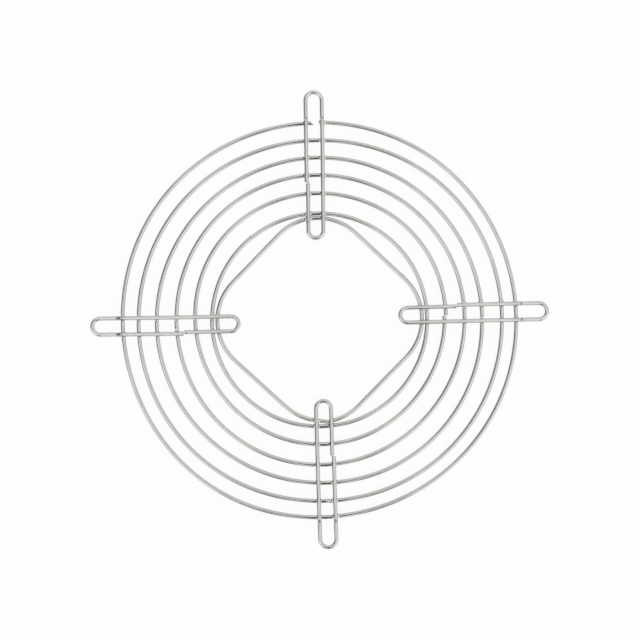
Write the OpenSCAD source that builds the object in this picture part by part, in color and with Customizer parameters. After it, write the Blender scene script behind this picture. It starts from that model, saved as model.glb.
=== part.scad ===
// Wire fan guard: six rings and a rounded square ring of round steel wire,
// welded under four long wire loops whose outer ends take the screws.
//
// The guard lies with its mounting plane on z = 0 and its middle on the Z axis.
// +Z points away from the fan. The spokes lie along +X, +Y, -X and -Y.

/* [Wire] */
// Diameter of the wire that the rings are bent from
ring_wire_d = 1.5; // [1.2:0.1:1.8]
// Diameter of the wire that the spokes are bent from
spoke_wire_d = 1.5; // [1.2:0.1:1.8]

/* [Rings] */
// Diameter of the outermost ring, on the wire's centreline
outer_ring_d = 146; // [142:1:148]
// Distance from the outermost ring to the next one, between centrelines
outer_ring_space = 5.8; // [4.5:0.1:7]
// Diameter of the innermost round ring, on the wire's centreline
inner_ring_d = 79; // [74:1:84]

/* [Rounded square ring] */
// Width over two flat sides, between the wire's centrelines
square_ring_w = 65; // [58:1:70]
// Clear space between its rounded corners and the innermost round ring
square_ring_gap = 0.2; // [0.2:0.05:0.6]

/* [Spokes] */
// Diameter of the circle that the four screws stand on
screw_circle_d = 162; // [160:1:170]
// Clear width of the slot that a screw passes through
screw_slot_w = 4.5; // [4:0.1:5.5]
// How far the middle of that slot's round end lies beyond the screw's
screw_slot_past = 0.3; // [0:0.1:1]
// Distance from the middle of the guard to a spoke's inner end, on the wire's centreline
spoke_start = 30; // [24:0.5:32]

/* [Depth] */
// Height of the rings' undersides over the mounting plane
ring_lift = 0.5; // [0:0.1:2]
// Depth of the seat that a spoke is welded into, in the wire of a ring
weld_sink = 0.3; // [0.1:0.05:0.4]
// Radius of the two bends that bring a spoke down to the mounting plane
joggle_r = 1.2; // [1:0.1:1.8]
// Steepest slope between those two bends, in degrees
joggle_angle = 65; // [45:1:80]

/* [Wire ends] */
// Clear space between the two ends of a wire, where they meet
end_gap = 0.3; // [0.2:0.05:0.6]
// Clear space between the two ends of the outermost ring, which stays open
outer_ring_gap = 2.7; // [1.5:0.1:3]
// How far the two ends of a spoke's wire are out of line
spoke_end_step = 0.5; // [0:0.1:0.7]
// Share of the small bending and welding errors that the guard is made with
as_built = 1; // [0:0.25:1]

/* [Hidden] */

// Facets of a wire's section and of a bend, for the preview
wire_fn = 32;
bend_fn = 180;
wire_colour = "silver";

// Lengths that join wires end to end are kept to whole thousandths of a millimetre
function whole(x) = round(1000 * x) / 1000;

// Ring sizes: the five inner rings are evenly spaced
ring_count = 6;
outer_ring_r = outer_ring_d / 2;
inner_ring_r = inner_ring_d / 2;
ring_space = (outer_ring_r - outer_ring_space - inner_ring_r) / (ring_count - 2);
function ring_r(i) = i == 0 ? outer_ring_r : whole(inner_ring_r + (ring_count - 1 - i) * ring_space);

// Where the two ends of each ring meet: a bearing, and a distance to its left along the wire
ring_joint_bearing = [90, 270, 0, 180, 0, 127];
ring_joint_side = [-1, 1, -1.3, 1.8, -0.1, 0];
// How much further out the end on the left lies than the end on the right
ring_end_step = [-0.2, 0.2, 0.1, -0.1, 0.6, 0.2];
// How far each ring is welded off the middle
ring_shift = [[-0.1, -0.1], [0.1, -0.35], [0, -0.25], [0.1, 0], [0.1, 0.6], [0, 0]];

// Heights of the wires' centrelines
ring_z = ring_lift + ring_wire_d / 2;
spoke_z = ring_z + (ring_wire_d + spoke_wire_d) / 2 - weld_sink;
screw_end_z = spoke_wire_d / 2;

// Rounded square ring: its bends reach towards the spokes, and stay inside the innermost ring
square_half = square_ring_w / 2;
square_reach = inner_ring_r - ring_wire_d - square_ring_gap;
square_bend_r = whole((sqrt(2) * square_half - square_reach) / (sqrt(2) - 1));
// Its ends meet under a leg of the front spoke, this far along the bend from its middle
square_joint_side = 3.2;

// Spoke loop, in its own frame with X outwards from the middle and Y to its left
screw_r = screw_circle_d / 2;
slot_end_x = screw_r + screw_slot_past;
outer_bend_r = (screw_slot_w + spoke_wire_d) / 2;
inner_bend_r = outer_bend_r - spoke_end_step / 2;
inner_bend_x = spoke_start + inner_bend_r;
right_y = -outer_bend_r;
left_inner_y = right_y + 2 * inner_bend_r;
left_outer_y = outer_bend_r;
// Its two ends meet between the fourth ring and the fifth, a little outside the middle of the gap
spoke_joint_x = whole((ring_r(3) + ring_r(4)) / 2 + 0.4);

// The joggle that brings a spoke's outer end down: two equal bends with a slope between them.
// The first bend goes round the outermost ring's wire.
joggle_start = outer_ring_r;
joggle_drop = spoke_z - screw_end_z;
shortest_slope = 0.1;
slope_angle = min(joggle_angle, 2 * atan2(joggle_drop, 2 * joggle_r + shortest_slope));
slope_len = (joggle_drop - 2 * joggle_r * (1 - cos(slope_angle))) / sin(slope_angle);
joggle_end = whole(joggle_start + 2 * joggle_r * sin(slope_angle) + slope_len * cos(slope_angle));
// The slope is drawn this much thinner than the bends, and runs this far into them
slope_neck = 0.02;
slope_overlap = 0.05;

// How far each spoke is welded to its left, at its inner end and at its screw
spoke_bearing = [0, 90, 180, 270];
spoke_inner_side = [0.85, 0.6, 0.65, 0.55];
spoke_screw_side = [0.4, -0.5, -0.25, 0.4];

// A straight length of wire along X
module straight_wire(x0, x1, y, z, d) {
    translate([x0, y, z])
        rotate([0, 90, 0])
            cylinder(h = x1 - x0, d = d, $fn = wire_fn);
}

// A length of wire bent through an angle to radius r round the Z axis, from the X axis on
module bent_wire(r, angle, d) {
    rotate_extrude(angle = angle, $fn = bend_fn)
        translate([r, 0])
            circle(d = d, $fn = wire_fn);
}

// One spoke's straight lengths on the upper level
module spoke_legs() {
    straight_wire(inner_bend_x, joggle_start, right_y, spoke_z, spoke_wire_d);
    straight_wire(inner_bend_x, spoke_joint_x - end_gap / 2, left_inner_y, spoke_z, spoke_wire_d);
    straight_wire(spoke_joint_x + end_gap / 2, joggle_start, left_outer_y, spoke_z, spoke_wire_d);
}

// The two bends and the slope on one leg of a spoke, down to the mounting plane
module joggle(y) {
    translate([joggle_start, y, spoke_z - joggle_r])
        rotate([-90, -90, 0])
            bent_wire(joggle_r, slope_angle, spoke_wire_d);
    translate([joggle_start + joggle_r * sin(slope_angle), y,
               spoke_z - joggle_r * (1 - cos(slope_angle))])
        rotate([0, slope_angle, 0])
            straight_wire(-slope_overlap, slope_len + slope_overlap, 0, 0, spoke_wire_d - 2 * slope_neck);
    translate([joggle_end, y, screw_end_z + joggle_r])
        rotate([-90, 90, 0])
            bent_wire(joggle_r, slope_angle, spoke_wire_d);
    straight_wire(joggle_end, slot_end_x, y, screw_end_z, spoke_wire_d);
}

// One long wire loop: two legs, a bend at the inner end and the screw slot at the outer end
module spoke_loop() {
    spoke_legs();
    translate([inner_bend_x, right_y + inner_bend_r, spoke_z])
        rotate([0, 0, 90])
            bent_wire(inner_bend_r, 180, spoke_wire_d);
    joggle(right_y);
    joggle(left_outer_y);
    translate([slot_end_x, 0, screw_end_z])
        rotate([0, 0, -90])
            bent_wire(outer_bend_r, 180, spoke_wire_d);
}

// Places a child where spoke i is welded
module at_spoke(i) {
    inner_side = as_built * spoke_inner_side[i];
    screw_side = as_built * spoke_screw_side[i];
    rotate([0, 0, spoke_bearing[i]])
        translate([spoke_start, inner_side, 0])
            rotate([0, 0, atan2(screw_side - inner_side, screw_r - spoke_start)])
                translate([-spoke_start, 0, 0])
                    children();
}

module spoke(i) {
    color(wire_colour)
        at_spoke(i)
            spoke_loop();
}

// Cuts the seats of all the spokes out of a ring's wire: under their legs, and round the outermost
// ring under their joggles
module seated() {
    color(wire_colour)
        difference() {
            children();
            for (i = [0 : len(spoke_bearing) - 1])
                at_spoke(i) {
                    spoke_legs();
                    joggle(right_y);
                    joggle(left_outer_y);
                }
        }
}

// Round ring i, as two half turns from the far side to the ends of the wire
module round_ring(i) {
    r = ring_r(i);
    gap = i == 0 ? outer_ring_gap : end_gap;
    step = as_built * ring_end_step[i] / 4;
    half_turn = 180 - gap / 2 / r * 180 / PI;
    seated()
        translate([as_built * ring_shift[i].x, as_built * ring_shift[i].y, ring_z])
            rotate([0, 0, ring_joint_bearing[i] + 180 + ring_joint_side[i] / r * 180 / PI])
                union() {
                    translate([-step, 0, 0])
                        bent_wire(r + step, half_turn, ring_wire_d);
                    mirror([0, 1, 0])
                        translate([step, 0, 0])
                            bent_wire(r - step, half_turn, ring_wire_d);
                }
}

// One bend of the square ring, from the X axis's right-hand side towards it
module square_bend(angle) {
    translate([square_half - square_bend_r, square_bend_r - square_half, 0])
        rotate([0, 0, -90])
            bent_wire(square_bend_r, angle, ring_wire_d);
}

// One flat side of the square ring, on the right of the X axis
module flat_side() {
    straight_wire(square_bend_r - square_half, square_half - square_bend_r, -square_half, 0, ring_wire_d);
}

// The rounded square ring, drawn square to the axes and then turned so that its bends face the spokes
module square_ring() {
    first_bend = 45 - (square_joint_side + end_gap / 2) / square_bend_r * 180 / PI;
    last_bend = 45 + (square_joint_side - end_gap / 2) / square_bend_r * 180 / PI;
    seated()
        translate([0, 0, ring_z])
            rotate([0, 0, 45])
                union() {
                    mirror([1, 0, 0])
                        square_bend(first_bend);
                    for (quarter = [0 : 3])
                        rotate([0, 0, 90 * quarter]) {
                            flat_side();
                            square_bend(quarter < 3 ? 90 : last_bend);
                        }
                }
}

round_ring(0);  // outer_ring
round_ring(1);  // second_ring
round_ring(2);  // third_ring
round_ring(3);  // fourth_ring
round_ring(4);  // fifth_ring
round_ring(5);  // inner_ring
square_ring();
spoke(0);  // right_spoke
spoke(1);  // back_spoke
spoke(2);  // left_spoke
spoke(3);  // front_spoke
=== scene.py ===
import math

import bpy
import numpy as np
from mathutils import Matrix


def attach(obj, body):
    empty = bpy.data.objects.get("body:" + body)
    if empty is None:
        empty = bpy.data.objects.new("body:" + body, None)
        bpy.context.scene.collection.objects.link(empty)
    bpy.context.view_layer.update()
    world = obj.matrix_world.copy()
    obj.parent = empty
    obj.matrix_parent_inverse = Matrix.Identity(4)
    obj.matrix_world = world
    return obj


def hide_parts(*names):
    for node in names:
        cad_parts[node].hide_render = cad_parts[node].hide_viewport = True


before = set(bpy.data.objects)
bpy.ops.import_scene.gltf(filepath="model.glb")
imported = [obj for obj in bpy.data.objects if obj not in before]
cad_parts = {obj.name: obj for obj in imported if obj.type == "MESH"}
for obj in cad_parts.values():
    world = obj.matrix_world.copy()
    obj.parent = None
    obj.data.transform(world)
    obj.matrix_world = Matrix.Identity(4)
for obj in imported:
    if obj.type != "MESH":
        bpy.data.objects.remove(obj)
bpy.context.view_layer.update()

# ---------------------------------------------------------------------------
# The six round rings.
# Bright plated 1.5 mm round steel wire, rolled to a circle and cropped to length. The two ends of a ring are
# butted under a spoke, a little out of line, and each circle comes off the rolls slightly out of round.

# Sizes are in millimetres, and become metres in the mesh
MM = 0.001
wire_r = 0.75
# How far from its end an upset wire swells, how far side cutters shear it, and how wide its rounded rim is
swell_reach, crop_reach, rim_width = 0.45, 1.3, 0.12
# The end's flat face as a share of the wire's radius, and the distance to the row of points behind it
face_share, rim_row = 0.8, 0.04
# Drawing leaves streaks in the wire: their pattern is drawn out by taking the length this much smaller
grain_stretch = 0.06


def tube_faces(rows, cols):
    """Faces over rows of cols points, numbered row by row: quads between two rows, and a fan from either end
    row to a point of its own, which come last. Their normal is the way along the tube crossed with the way
    round it."""
    i, j = np.meshgrid(np.arange(rows - 1), np.arange(cols), indexing="ij")
    here, after = i * cols + j, i * cols + (j + 1) % cols
    quads = np.stack([here, here + cols, after + cols, after], axis=2).reshape(-1, 4)
    j = np.arange(cols)
    last_row = (rows - 1) * cols
    first = np.stack([np.full(cols, rows * cols), j, (j + 1) % cols], axis=1)
    last = np.stack([np.full(cols, rows * cols + 1), last_row + (j + 1) % cols, last_row + j], axis=1)
    return quads, np.concatenate([first, last])


def new_piece(name, points, faces):
    """A smooth-shaded piece from points in millimetres and a list of faces; its object sits at the origin."""
    mesh = bpy.data.meshes.new(name)
    mesh.from_pydata((points * MM).tolist(), [], faces)
    mesh.polygons.foreach_set("use_smooth", np.ones(len(mesh.polygons), dtype=bool))
    mesh.update()
    piece = bpy.data.objects.new(name, mesh)
    bpy.context.collection.objects.link(piece)
    return piece


def set_grain(piece, grain):
    """Gives each point its place in the pattern of the wire's grain."""
    layer = piece.data.attributes.new("grain", "FLOAT_VECTOR", "POINT")
    layer.data.foreach_set("vector", grain.astype(np.float32).ravel())


def wire_skin(name, path, pitch=0.35, around=20, end_swell=(0.0, 0.0), slant=(0.0, 0.0)):
    """Skin of a round wire: P(s, a) = path(s) + r(s) (cos a * side + sin a * up) + ahead * crop(s, a).

    side lies flat and square to the path, and up is square to both. r(s) is the wire's radius times
    1 + swell * exp(-(d / swell reach)^2), where d is the distance to an end, and rounds off over the rim as a
    quarter circle does. crop is slant * r * cos a, fading evenly over its reach, as side cutters leave it.
    A swollen end is pressed flat at the top and the bottom, where it would stand proud of the wire.
    """
    step = np.linalg.norm(np.diff(path, axis=0), axis=1)
    run = np.concatenate([[0.0], np.cumsum(step)])
    length = run[-1]
    inner = np.linspace(rim_width, length - rim_width, int(length / pitch))
    s = np.concatenate([[0.0, rim_row], inner, [length - rim_row, length]])
    centre = np.stack([np.interp(s, run, path[:, k]) for k in range(3)], axis=1)
    ahead = np.stack([np.interp(s, run, np.gradient(path[:, k], run)) for k in range(3)], axis=1)
    ahead /= np.linalg.norm(ahead, axis=1, keepdims=True)
    side = np.cross(ahead, [0.0, 0.0, 1.0])
    side /= np.linalg.norm(side, axis=1, keepdims=True)
    up = np.cross(side, ahead)

    swell, shear = 0.0, 0.0
    for end, d in enumerate((s, length - s)):
        swell = swell + end_swell[end] * np.exp(-(d / swell_reach) ** 2)
        shear = shear + slant[end] * np.clip(1.0 - d / crop_reach, 0.0, 1.0)
    edge = np.clip(np.minimum(s, length - s) / rim_width, 0.0, 1.0)
    radius = wire_r * (1.0 + swell) * (face_share + (1.0 - face_share) * np.sqrt(1.0 - (1.0 - edge) ** 2))

    a = np.arange(around) * 2.0 * math.pi / around
    cos_a, sin_a = np.cos(a)[None, :, None], np.sin(a)[None, :, None]
    skin = (centre[:, None] + radius[:, None, None] * (cos_a * side[:, None] + sin_a * up[:, None])
            + (shear * radius)[:, None, None] * cos_a * ahead[:, None])
    skin[..., 2] = np.clip(skin[..., 2], path[:, 2].min() - wire_r, path[:, 2].max() + wire_r)
    grain = np.stack(np.broadcast_arrays(grain_stretch * s[:, None], np.cos(a)[None], np.sin(a)[None]), 2)
    points = np.concatenate([skin.reshape(-1, 3), centre[:1], centre[-1:]])
    end_grain = [[0.0, 0.0, 0.0], [length * grain_stretch, 0.0, 0.0]]

    quads, fans = tube_faces(len(s), around)
    piece = new_piece(name, points, quads.tolist() + fans.tolist())
    set_grain(piece, np.concatenate([grain.reshape(-1, 3), end_grain]))
    return piece


def fill_sockets(tree, node, sockets):
    """Gives each socket of a node, by name or number, its plain value or a link from another socket."""
    for socket, value in sockets.items():
        if isinstance(value, bpy.types.NodeSocket):
            tree.links.new(value, node.inputs[socket])
        else:
            node.inputs[socket].default_value = value


def add_node(tree, kind, sockets, **settings):
    """Adds a shader node of a kind, makes its settings and fills its sockets."""
    node = tree.nodes.new("ShaderNode" + kind)
    for setting, value in settings.items():
        setattr(node, setting, value)
    fill_sockets(tree, node, sockets)
    return node


# The plate, and what marks it: a weld's heat tint with painted contact shade round it, painted shade on the
# slopes where a spoke steps down, and a stain where the plate is worn off
plate_colour = (0.606, 0.6, 0.592)
pit_colour = (0.30, 0.29, 0.28, 1.0)
mark_colours = {"heat": (0.36, 0.38, 0.39, 1.0), "slope_shade": (0.10, 0.095, 0.09, 1.0),
                "stain": (0.34, 0.22, 0.13, 1.0)}


def plated_steel(name, seed, tone=plate_colour):
    """Bright zinc plate on drawn wire: cloudy patches, pits, and streaks along the grain that vary its gloss.
    Over them lie three marks, each as strong as the piece's attribute of that name: heat tint with painted
    contact shade round the welds, painted shade on the slopes where the spokes step down, and a stain. The
    first also dulls it."""
    material = bpy.data.materials.new(name)
    material.use_nodes = True
    tree = material.node_tree
    shader = tree.nodes["Principled BSDF"]
    fill_sockets(tree, shader, {"Metallic": 1.0, "Specular Tint": (0.45, 0.45, 0.45, 1.0)})

    place = add_node(tree, "TexCoord", {})
    shift = add_node(tree, "Mapping", {"Vector": place.outputs["Object"],
                                       "Location": (0.013 * seed, 0.007 * seed, 0.0)})
    cloud = add_node(tree, "TexNoise", {"Vector": shift.outputs["Vector"], "Scale": 110.0, "Detail": 3.0})
    tint = add_node(tree, "ValToRGB", {"Fac": cloud.outputs["Fac"]})
    dark, light = tint.color_ramp.elements
    dark.position, light.position = 0.3, 0.72
    dark.color = (tone[0] * 0.90, tone[1] * 0.93, tone[2] * 0.96, 1.0)
    light.color = (tone[0] * 1.06, tone[1] * 1.04, tone[2] * 0.99, 1.0)

    spots = add_node(tree, "TexNoise", {"Vector": shift.outputs["Vector"], "Scale": 2600.0, "Detail": 2.0})
    pits = add_node(tree, "MapRange", {"Value": spots.outputs["Fac"], "From Min": 0.64, "From Max": 0.82})
    grain = add_node(tree, "Attribute", {}, attribute_name="grain")
    streak = add_node(tree, "TexNoise", {"Vector": grain.outputs["Vector"], "Scale": 4.5, "Detail": 4.0})

    colour = tint.outputs["Color"]
    marks = {}
    for mark, mark_colour in mark_colours.items():
        marks[mark] = add_node(tree, "Attribute", {}, attribute_name=mark)
        marked = add_node(tree, "Mix", {"Factor": marks[mark].outputs["Fac"], "A": colour, "B": mark_colour},
                          data_type="RGBA")
        colour = marked.outputs["Result"]
    pitted = add_node(tree, "Mix", {"Factor": pits.outputs["Result"], "A": colour, "B": pit_colour},
                      data_type="RGBA")

    gloss = add_node(tree, "MapRange", {"Value": streak.outputs["Fac"], "From Min": 0.3, "From Max": 0.7,
                                        "To Min": 0.06, "To Max": 0.14})
    dull = add_node(tree, "Math", {0: marks["heat"].outputs["Fac"], 1: 0.18, 2: gloss.outputs["Result"]},
                    operation="MULTIPLY_ADD")
    lines = add_node(tree, "Bump", {"Height": streak.outputs["Fac"], "Strength": 0.12, "Distance": 0.00002})
    dents = add_node(tree, "Bump", {"Height": pits.outputs["Result"], "Strength": 0.3, "Distance": 0.00004,
                                    "Normal": lines.outputs["Normal"]}, invert=True)
    fill_sockets(tree, shader, {"Base Color": pitted.outputs["Result"], "Roughness": dull.outputs["Value"],
                                "Normal": dents.outputs["Normal"]})
    return material


def finish_wire(piece, node, material):
    """Puts the material on a wire and lets it stand for its plain CAD node."""
    piece.data.materials.append(material)
    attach(piece, "root")
    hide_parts(node)


ring_z = 1.25
ring_names = ["outer_ring", "second_ring", "third_ring", "fourth_ring", "fifth_ring", "inner_ring"]
ring_r = [73.0, 67.17, 60.17, 53.43, 46.33, 39.6]
# Off the middle by this much, to the right and to the back
ring_off = [(-0.25, -0.05), (0.2, -0.35), (0.05, -0.3), (0.15, 0.05), (0.15, 0.6), (-0.05, -0.05)]
# Out of round: an oval, a three-cornered and a four-cornered swing, each with its size and its high side
ring_swings = {2: [(0.1, 85), (0.25, 5), (0.1, 135), (0.15, 90), (0.1, 100), (0.2, 5)],
               3: [(0.15, 0), (0.0, 0), (0.2, 70), (0.2, 10), (0.25, 25), (0.0, 0)],
               4: [(0.2, 57), (0.2, 45), (0.0, 0), (0.0, 0), (0.0, 0), (0.0, 0)]}
# Where the ends meet: a bearing and a distance to its left; the clear gap; how far the left end stands out
ring_joint = [(90, -1.0), (270, 1.0), (0, -1.3), (180, 1.8), (0, -0.1), (127, 0.0)]
ring_gap = [2.7, 0.1, 0.3, 0.2, 0.25, 0.15]
ring_step = [-0.25, 0.15, 0.15, -0.1, 0.6, 0.2]
# How far from its end a ring leaves its circle, how much it waves up and down, how finely it is drawn
step_reach, ring_wave, ring_samples = 7, 0.05, 2400


def ring_path(k):
    """A turn from one end to the other: r(b) = r + off . (cos b, sin b) + the sum of size * cos n(b - high
    side) for n = 2, 3, 4. Each end leaves the circle by half the step, as exp(-d / reach) with the distance d
    from it, and z waves as sin(5b + k) sin 2b."""
    middle = math.radians(ring_joint[k][0]) + ring_joint[k][1] / ring_r[k]
    half_gap = ring_gap[k] / 2 / ring_r[k]
    b = np.linspace(middle + half_gap, middle + 2 * math.pi - half_gap, ring_samples)
    r = ring_r[k] + ring_off[k][0] * np.cos(b) + ring_off[k][1] * np.sin(b)
    for n, swings in ring_swings.items():
        size, high_side = swings[k]
        r += size * np.cos(n * (b - math.radians(high_side)))
    d = (b - b[0]) * ring_r[k]
    r += ring_step[k] / 2 * (np.exp(-d / step_reach) - np.exp(-(d[-1] - d) / step_reach))
    z = ring_z + ring_wave * np.sin(5 * b + k) * np.sin(2 * b)
    return np.stack([r * np.cos(b), r * np.sin(b), z], axis=1)


ring_wires = []
for k, ring_name in enumerate(ring_names):
    # The outermost ring's open ends are cut askew, and the others' are pressed together
    end_swell, slant = ((0.04, 0.04), (0.9, 0.3)) if k == 0 else ((0.12, 0.10), (0.05, -0.08))
    path = ring_path(k)
    ring = wire_skin(ring_name + "_wire", path, end_swell=end_swell, slant=slant)
    finish_wire(ring, ring_name, plated_steel("plated_" + ring_name, k))
    ring_wires.append((ring, path))

# ---------------------------------------------------------------------------
# The rounded square ring.
# One wire of the same kind, bent four times round a former so that its bends reach the four spokes and its
# flat sides cut across between them. Its ends meet under one leg of the front spoke.

# Its end on the right starts beside the middle of the front spoke, and the four bends come out uneven; the
# last one stops early, and the wire runs straight on to its end against the innermost round ring
square_start = (3.3, -37.45)
square_heading = 11.3
square_bend_r = 20.2
square_bends = [32.4, 91.4, 88.9, 91.8, 35.6]
square_flats = [25.3, 24.9, 24.5, 25.2, 5.8]
# Length of wire over which a bend sets in
square_blend = 4.0
bent_pitch = 0.05


def bent_path(start, heading, lengths, turns, climbs, blend):
    """A wire bent stretch by stretch: heading h(s) turns evenly over each stretch and climb c(s) likewise,
    both blended over a short length where a stretch begins, and the path is the running sum of
    (cos c cos h, cos c sin h, sin c) ds."""
    stops = np.concatenate([[0.0], np.cumsum(lengths)])
    s = np.linspace(0.0, stops[-1], int(round(stops[-1] / bent_pitch)) + 1)
    ds = s[1] - s[0]
    width = 2 * int(blend / ds / 2) + 1
    even = np.ones(width) / width
    angles = []
    for first, changes in ((heading, turns), (0.0, climbs)):
        sharp = np.interp(s, stops, first + np.concatenate([[0.0], np.cumsum(changes)]))
        angles.append(np.convolve(np.pad(sharp, width // 2, mode="edge"), even, mode="valid"))
    h, c = angles
    step = np.stack([np.cos(c) * np.cos(h), np.cos(c) * np.sin(h), np.sin(c)], axis=1) * ds
    middle = (step[1:] + step[:-1]) / 2
    return np.array(start) + np.concatenate([[[0.0, 0.0, 0.0]], np.cumsum(middle, axis=0)])


lengths, turns = [], []
for bend, flat in zip(square_bends, square_flats):
    lengths += [square_bend_r * math.radians(bend), flat]
    turns += [math.radians(bend), 0.0]
square_path = bent_path((*square_start, ring_z), math.radians(square_heading), lengths, turns,
                        climbs=[0.0] * len(turns), blend=square_blend)
square = wire_skin("square_ring_wire", square_path, end_swell=(0.08, 0.08))
finish_wire(square, "square_ring", plated_steel("plated_square_ring", 7))
ring_wires.append((square, square_path))

# ---------------------------------------------------------------------------
# The four spokes.
# Each is one wire bent into a long closed loop and laid on top of the rings. Outside the outermost ring both
# legs step down to the mounting plane, and the round end beyond takes a screw. The wire's ends are butt
# welded in the left leg.

spoke_z = 2.45
screw_end_z = 0.75
screw_r = 81.0
outer_bend_r = 3.0
inner_bend_r = 2.75
joint_gap = 0.3
spoke_blend = 0.3
joggle_x = 73.0
joggle_r = 1.2
joggle_angle = math.radians(65)
joggle_drop = spoke_z - screw_end_z
joggle_slope = (joggle_drop - 2 * joggle_r * (1 - math.cos(joggle_angle))) / math.sin(joggle_angle)
joggle_run = 2 * joggle_r * math.sin(joggle_angle) + joggle_slope * math.cos(joggle_angle)
joggle = [joggle_r * joggle_angle, joggle_slope, joggle_r * joggle_angle]

spoke_names = ["right_spoke", "back_spoke", "left_spoke", "front_spoke"]
# Where each loop's inner end and the middle of its outer bend lie; how far each spoke lies to its left, at
# its inner end and at its screw; how much its legs bow to the left; and where its two ends meet
spoke_start = [29.8, 30.25, 30.0, 30.0]
slot_end = [81.18, 81.27, 81.27, 81.27]
spoke_side = [(0.85, 0.4), (0.6, -0.5), (0.65, -0.25), (0.55, 0.4)]
spoke_bow = [0.05, -0.08, 0.1, -0.05]
joint_x = [50.6, 50.6, 50.1, 50.35]


def turned(x, y, angle):
    """A place turned anticlockwise about the middle."""
    return x * math.cos(angle) - y * math.sin(angle), x * math.sin(angle) + y * math.cos(angle)


def spoke_path(k):
    """The loop from its joint inwards, round the inner end, out along the right leg, down the joggle, round
    the screw and back up to the joint; then bowed by bow * sin(pi t) over its length, leaned by a small angle
    about its inner end and turned to its bearing."""
    inner_x = spoke_start[k] + inner_bend_r
    leg = joggle_x - inner_x
    tip = slot_end[k] - joggle_x - joggle_run
    first_end = joint_x[k] - joint_gap / 2
    back_leg = joggle_x - joint_x[k] - joint_gap / 2
    left_y = 2 * inner_bend_r - outer_bend_r
    half_turn, down = math.pi, joggle_angle
    path = bent_path(
        (first_end, left_y, spoke_z), math.pi,
        [first_end - inner_x, half_turn * inner_bend_r, leg, *joggle, tip, half_turn * outer_bend_r, tip,
         *joggle, back_leg],
        [0, half_turn, 0, 0, 0, 0, 0, half_turn, 0, 0, 0, 0, 0],
        climbs=[0, 0, 0, -down, 0, down, 0, 0, 0, down, 0, -down, 0], blend=spoke_blend)

    inner_side, screw_side = spoke_side[k]
    span = screw_r - spoke_start[k]
    x, y = path[:, 0] - spoke_start[k], path[:, 1]
    y = y + spoke_bow[k] * np.sin(math.pi * np.clip(x / span, 0.0, 1.0))
    x, y = turned(x, y, math.atan2(screw_side - inner_side, span))
    x, y = turned(x + spoke_start[k], y + inner_side, math.radians(90 * k))
    return np.stack([x, y, np.maximum(path[:, 2], screw_end_z)], axis=1)


spoke_wires = []
for k, spoke_name in enumerate(spoke_names):
    path = spoke_path(k)
    spoke = wire_skin(spoke_name + "_wire", path, pitch=0.2, end_swell=(0.06, 0.12), slant=(0.15, -0.2))
    finish_wire(spoke, spoke_name, plated_steel("plated_" + spoke_name, 10 + k))
    spoke_wires.append((spoke, path))

# ---------------------------------------------------------------------------
# The welds.
# Every ring is resistance welded to both legs of every spoke. The wires sink into each other, a little metal
# is squeezed out into the corners between them, and the plating round each weld is dull and blue-grey from
# heat, with painted contact shade darkening it where the wires cross.

bead_rows, bead_cols = 9, 20
# A bead's half sizes along the ring, along the leg and upwards, and how they swing from weld to weld: by how
# much, how fast and from where
bead_half, bead_swing = np.array([1.25, 0.98, 0.62]), np.array([0.22, 0.12, 0.08])
swing_rate, swing_start = np.array([2.4, 3.1, 1.7]), np.array([0.7, 2.0, 0.0])
# Its corners, where 2 is an ellipsoid and more is squarer, and its low lumps
bead_power, bead_lumps = 2.6, 0.05
bead_colour = (0.62, 0.61, 0.6)
bead_grain = np.array([0.3, 0.3, 1.0])
# Every fourth point of a line is near enough to find the place of a weld
line_skip = 4


def direction(line, i):
    """Unit vector along a line at its point i."""
    ahead = line[min(i + 1, len(line) - 1)] - line[max(i - 1, 0)]
    return ahead / np.linalg.norm(ahead)


def crossings():
    """For each ring and each leg, the point where the two lines come nearest in plan, and both ways there."""
    spots, along_rings, along_legs = [], [], []
    for ring, ring_line in ring_wires:
        ring_line = ring_line[::line_skip]
        for k, (spoke, spoke_line) in enumerate(spoke_wires):
            upper = spoke_line[spoke_line[:, 2] > spoke_z - 0.01]
            across = turned(upper[:, 0], upper[:, 1], -math.radians(90 * k))[1]
            for leg in (upper[across > 1.0][::line_skip], upper[across < -1.0][::line_skip]):
                apart = np.linalg.norm(ring_line[:, None, :2] - leg[None, :, :2], axis=2)
                i, j = np.unravel_index(np.argmin(apart), apart.shape)
                spots.append((ring_line[i] + leg[j]) / 2)
                along_rings.append(direction(ring_line, i))
                along_legs.append(direction(leg, j))
    return np.array(spots), np.array(along_rings), np.array(along_legs)


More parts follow.
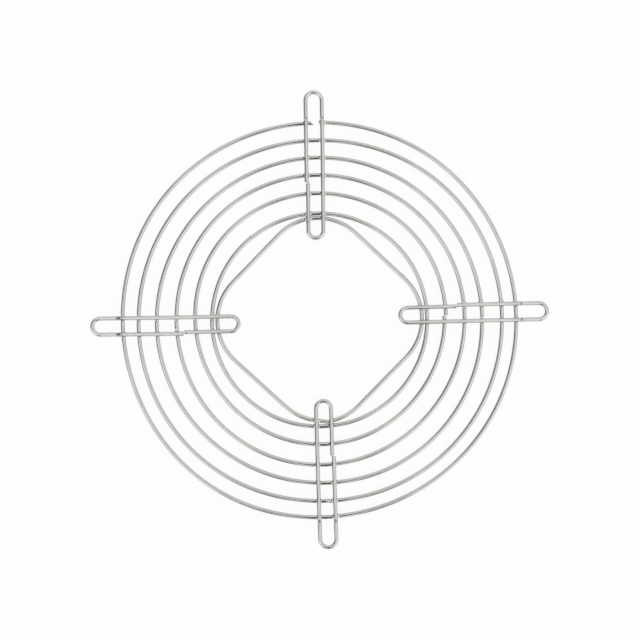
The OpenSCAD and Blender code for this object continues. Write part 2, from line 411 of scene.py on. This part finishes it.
def weld_beads(name, spot, u, v):
    """Squeezed-out metal: a superellipsoid on the contact, |u/a|^p + |v/b|^p + |w/c|^p = 1 with u along the
    ring, v along the leg and w up. Its sizes are half + swing * sin(rate n + start) for weld n, and it has
    low lumps cos(2t + n) cos 3f."""
    n = np.arange(len(spot))
    sizes = bead_half + bead_swing * np.sin(swing_rate * n[:, None] + swing_start)
    f = np.linspace(-math.pi / 2, math.pi / 2, bead_rows + 2)[1:-1, None]
    t = (np.arange(bead_cols) * 2 * math.pi / bead_cols)[None]
    ball = np.stack(np.broadcast_arrays(np.cos(f) * np.cos(t), np.cos(f) * np.sin(t), np.sin(f)), axis=2)
    square_off = (np.abs(ball) ** bead_power).sum(axis=2) ** (-1 / bead_power)
    lumps = 1.0 + bead_lumps * np.cos(2 * t[None] + n[:, None, None]) * np.cos(3 * f[None])
    out = (square_off[None] * lumps)[..., None] * ball[None] * sizes[:, None, None]
    w = np.broadcast_to([0.0, 0.0, 1.0], u.shape)
    grid = spot[:, None, None] + out @ np.stack([u, v, w], axis=1)[:, None]
    low, high = spot - sizes[:, 2:] * w, spot + sizes[:, 2:] * w
    points = np.concatenate([grid.reshape(len(spot), -1, 3), low[:, None], high[:, None]], axis=1)

    # The rows of a bead turn the other way, so its faces are turned round
    quads, fans = tube_faces(bead_rows, bead_cols)
    offset = (n * points.shape[1])[:, None, None]
    quads = (quads[None, :, [0, 3, 2, 1]] + offset).reshape(-1, 4)
    fans = (fans[None, :, [0, 2, 1]] + offset).reshape(-1, 3)
    return new_piece(name, points.reshape(-1, 3), quads.tolist() + fans.tolist())


def places(piece):
    """Where a piece's points lie, in millimetres."""
    flat = np.empty(len(piece.data.vertices) * 3)
    piece.data.vertices.foreach_get("co", flat)
    return flat.reshape(-1, 3) / MM


def mark_near(name, piece, spots, reach, amount):
    """Marks a piece by amount * exp(-(d / reach)^2), with d the distance from a point to its nearest spot."""
    points = places(piece)
    nearest = np.full(len(points), np.inf)
    for spot in spots:
        nearest = np.minimum(nearest, ((points - spot) ** 2).sum(axis=1))
    mark = amount * np.exp(-nearest / reach ** 2)
    piece.data.attributes.new(name, "FLOAT", "POINT").data.foreach_set("value", mark.astype(np.float32))


weld_spots, along_rings, along_legs = crossings()
beads = weld_beads("weld_beads", weld_spots, along_rings, along_legs)
# Squeezed-out metal has no drawn grain, so the pattern is laid over it by place
set_grain(beads, places(beads) * bead_grain)
beads.data.materials.append(plated_steel("plated_welds", 20, tone=bead_colour))
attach(beads, "root")

# The welds' heat tint with painted contact shade round it, painted shade on the slopes where each spoke is
# stepped down, deep on the left one, and a brown stain at the end of the right one
weld_tint_and_shade_reach, weld_tint_and_shade_amount = 1.3, 0.35
slope_shade_reach, slope_shade_depth, slope_shade_low, slope_shade_high = 0.8, [0.2, 0.3, 1.0, 0.3], 1.3, 2.4
stain_reach, stain_amount, stain_from = 0.6, 0.55, 83.0
# Heat tint and painted contact shade round every weld
for piece in [piece for piece, path in ring_wires + spoke_wires] + [beads]:
    mark_near("heat", piece, weld_spots, weld_tint_and_shade_reach, weld_tint_and_shade_amount)
# Painted shade on each spoke's sloped step down to the screw end
for depth, (spoke, path) in zip(slope_shade_depth, spoke_wires):
    slope = path[(path[:, 2] > slope_shade_low) & (path[:, 2] < slope_shade_high)][::8]
    mark_near("slope_shade", spoke, slope, slope_shade_reach, depth)
right_spoke, path = spoke_wires[0]
stained = path[(path[:, 0] > stain_from) & (path[:, 1] > 0.0)][::30]
mark_near("stain", right_spoke, stained, stain_reach, stain_amount)

# ---------------------------------------------------------------------------
# The table, the light and the camera.
# The guard lies on a white table in a white light tent. The camera looks straight down on it, from a dark bar
# that comes out over the table from the front.

table_half, table_z = 40000.0, -0.05
# How much of what the eye and mirrors see of the table is its own white, and not paper in the light
white_share = 0.93
bar_half, bar_front, bar_back, bar_z = 58.0, -600.0, 80.0, 625.0


def stage_card(name, half_width, front, back, z, looks_up):
    """A flat level card of the stage, which faces up or down."""
    corners = np.array([[-half_width, front, z], [half_width, front, z], [half_width, back, z],
                        [-half_width, back, z]])
    card = new_piece(name, corners, [(0, 1, 2, 3) if looks_up else (3, 2, 1, 0)])
    return card


table = stage_card("table_top", table_half, -table_half, table_half, table_z, looks_up=True)
white = bpy.data.materials.new("white_table")
white.use_nodes = True
tree = white.node_tree
tree.nodes.clear()
paper = add_node(tree, "BsdfDiffuse", {"Color": (0.9, 0.9, 0.9, 1.0)})
glow = add_node(tree, "Emission", {"Color": (1.0, 1.0, 1.0, 1.0)})
rays = add_node(tree, "LightPath", {}).outputs
seen = add_node(tree, "Math", {0: rays["Is Camera Ray"], 1: rays["Is Glossy Ray"]}, operation="MAXIMUM")
seen = add_node(tree, "Math", {0: seen.outputs["Value"], 1: rays["Is Transmission Ray"]}, operation="MAXIMUM")
share = add_node(tree, "Math", {0: seen.outputs["Value"], 1: white_share}, operation="MULTIPLY")
both = add_node(tree, "MixShader", {"Fac": share.outputs["Value"], 1: paper.outputs["BSDF"],
                                    2: glow.outputs["Emission"]})
add_node(tree, "OutputMaterial", {"Surface": both.outputs["Shader"]})
table.data.materials.append(white)

bar = stage_card("camera_bar", bar_half, bar_front, bar_back, bar_z, looks_up=False)
black = bpy.data.materials.new("black_bar")
black.use_nodes = True
fill_sockets(black.node_tree, black.node_tree.nodes["Principled BSDF"],
             {"Base Color": (0.02, 0.02, 0.02, 1.0), "Roughness": 0.8})
bar.data.materials.append(black)

# The tent, as a sky that is even but for these patches. Each has its middle to the right and to the back,
# half its width and depth, and its amount.
room_level = 0.98
patch_core = 0.55
side_windows = [(0.6, -0.55, 0.3, 0.8, 0.45), (-0.52, -0.2, 0.12, 0.75, 1.0)]
dark_openings = [(-1.05, 0.4, 0.57, 0.85, -0.98), (-0.33, 0.17, 0.13, 0.24, -0.85),
                 (-0.05, -1.0, 0.62, 0.42, -0.95)]
strips_by_bar = [(0.13, -0.15, 0.06, 0.6, 0.2), (-0.13, -0.15, 0.06, 0.6, 0.2),
                 (0.12, -0.82, 0.08, 0.33, 0.9), (-0.12, -0.82, 0.08, 0.33, 0.9)]

world = bpy.data.worlds.new("studio")
bpy.context.scene.world = world
world.use_nodes = True
sky = world.node_tree
where = add_node(sky, "TexCoord", {}).outputs["Generated"]


def room_patch(below, across, back, half_width, half_depth, amount):
    """A soft-edged oval in the sky as seen from below, even over its core and gone at its rim. A positive
    amount of light is added to what is below, and a negative one takes away that share of it."""
    adds = amount > 0
    inside, outside = (amount, 0.0) if adds else (1.0 + amount, 1.0)
    off = add_node(sky, "VectorMath", {0: where, 1: (across, back, 0.0)}, operation="SUBTRACT")
    scaled = add_node(sky, "VectorMath", {0: off.outputs["Vector"],
                                          1: (1.0 / half_width, 1.0 / half_depth, 0.0)}, operation="MULTIPLY")
    far = add_node(sky, "VectorMath", {0: scaled.outputs["Vector"]}, operation="LENGTH")
    soft = add_node(sky, "MapRange", {"Value": far.outputs["Value"], "From Min": patch_core, "From Max": 1.0,
                                      "To Min": inside, "To Max": outside}, interpolation_type="SMOOTHSTEP")
    total = add_node(sky, "Math", {0: soft.outputs["Result"], 1: below},
                     operation="ADD" if adds else "MULTIPLY")
    return total.outputs["Value"]


brightness = room_level
for patch in side_windows + dark_openings + strips_by_bar:
    brightness = room_patch(brightness, *patch)
fill_sockets(sky, sky.nodes["Background"], {"Color": (1.0, 1.0, 0.995, 1.0), "Strength": brightness})

# Straight above the guard, a touch off its middle and turned by two degrees against it. It sees this width of
# the rings' plane.
camera_right, camera_back, camera_height = 0.12, -0.09, 600.0
camera_turn = math.radians(-1.97)
seen_width = 236.8
sensor_width = 36.0
camera_data = bpy.data.cameras.new("camera")
camera_data.sensor_width = sensor_width
camera_data.lens = sensor_width * (camera_height - ring_z) / seen_width
camera_data.clip_start = 0.01
camera = bpy.data.objects.new("camera", camera_data)
camera.location = (camera_right * MM, camera_back * MM, camera_height * MM)
camera.rotation_euler = (0.0, 0.0, camera_turn)
bpy.context.collection.objects.link(camera)
bpy.context.scene.camera = camera
bpy.context.scene.view_settings.view_transform = "Standard"
